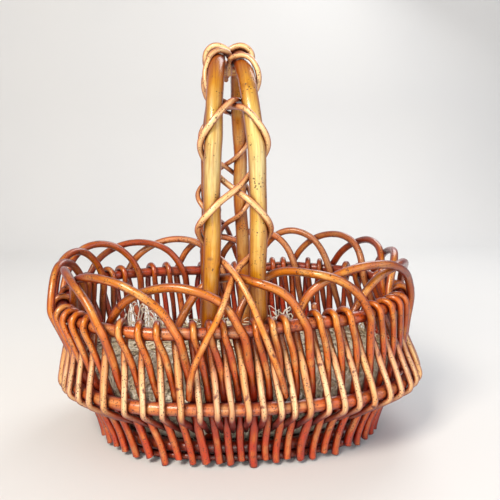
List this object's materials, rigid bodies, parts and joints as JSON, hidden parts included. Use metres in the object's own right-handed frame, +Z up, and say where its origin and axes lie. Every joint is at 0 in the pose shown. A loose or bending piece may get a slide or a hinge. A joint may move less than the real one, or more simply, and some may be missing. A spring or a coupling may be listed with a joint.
{
  "type": "tall wicker basket",
  "caption": "Oval bent-willow basket with an open hairpin wall, low looped arches round the rim, a tall laced double handle over the middle and shredded filling.",
  "frame": {"origin": "on the floor, under the middle of the belly hoop", "axes": "+X along the basket to the right as seen from the front, -Y to the front, +Z up; the handle bows from front to back"},
  "size_m": [0.4392, 0.312, 0.446],
  "materials": {
    "arch_rods": "smooth peeled willow, satin varnish, small dark specks",
    "hook_rods": "smooth peeled willow, satin varnish",
    "hoops": "peeled willow, reddish, satin varnish",
    "handle_rods": "thick peeled rod, ochre, satin varnish, dark knots",
    "lacing": "thin pale peeled willow, satin varnish",
    "floor": "peeled willow",
    "fill": "cream shredded paper"
  },
  "bodies": {
    "root": {"arch_01": "arch_rods", "arch_02": "arch_rods", "arch_03": "arch_rods", "arch_04": "arch_rods", "arch_05": "arch_rods", "arch_06": "arch_rods", "arch_07": "arch_rods", "arch_08": "arch_rods", "arch_09": "arch_rods", "arch_10": "arch_rods", "arch_11": "arch_rods", "arch_12": "arch_rods", "arch_13": "arch_rods", "arch_14": "arch_rods", "arch_15": "arch_rods", "arch_16": "arch_rods", "arch_17": "arch_rods", "arch_18": "arch_rods", "back_lacing_left": "lacing", "back_lacing_right": "lacing", "base_cross_rods": "floor", "base_hoop": "hoops", "belly_hoop": "hoops", "floor_rods": "floor", "foot_hoop": "hoops", "front_lacing_left": "lacing", "front_lacing_right": "lacing", "handle_rod_left": "handle_rods", "handle_rod_right": "handle_rods", "handle_top_binding": "lacing", "hooks_bay_01": "hook_rods", "hooks_bay_02": "hook_rods", "hooks_bay_03": "hook_rods", "hooks_bay_04": "hook_rods", "hooks_bay_05": "hook_rods", "hooks_bay_06": "hook_rods", "hooks_bay_07": "hook_rods", "hooks_bay_08": "hook_rods", "hooks_bay_09": "hook_rods", "hooks_bay_10": "hook_rods", "hooks_bay_11": "hook_rods", "hooks_bay_12": "hook_rods", "hooks_bay_13": "hook_rods", "hooks_bay_14": "hook_rods", "hooks_bay_15": "hook_rods", "hooks_bay_16": "hook_rods", "hooks_bay_17": "hook_rods", "hooks_bay_18": "hook_rods", "rim_hoop": "hoops", "shredded_fill": "fill"}
  },
  "joints": []
}
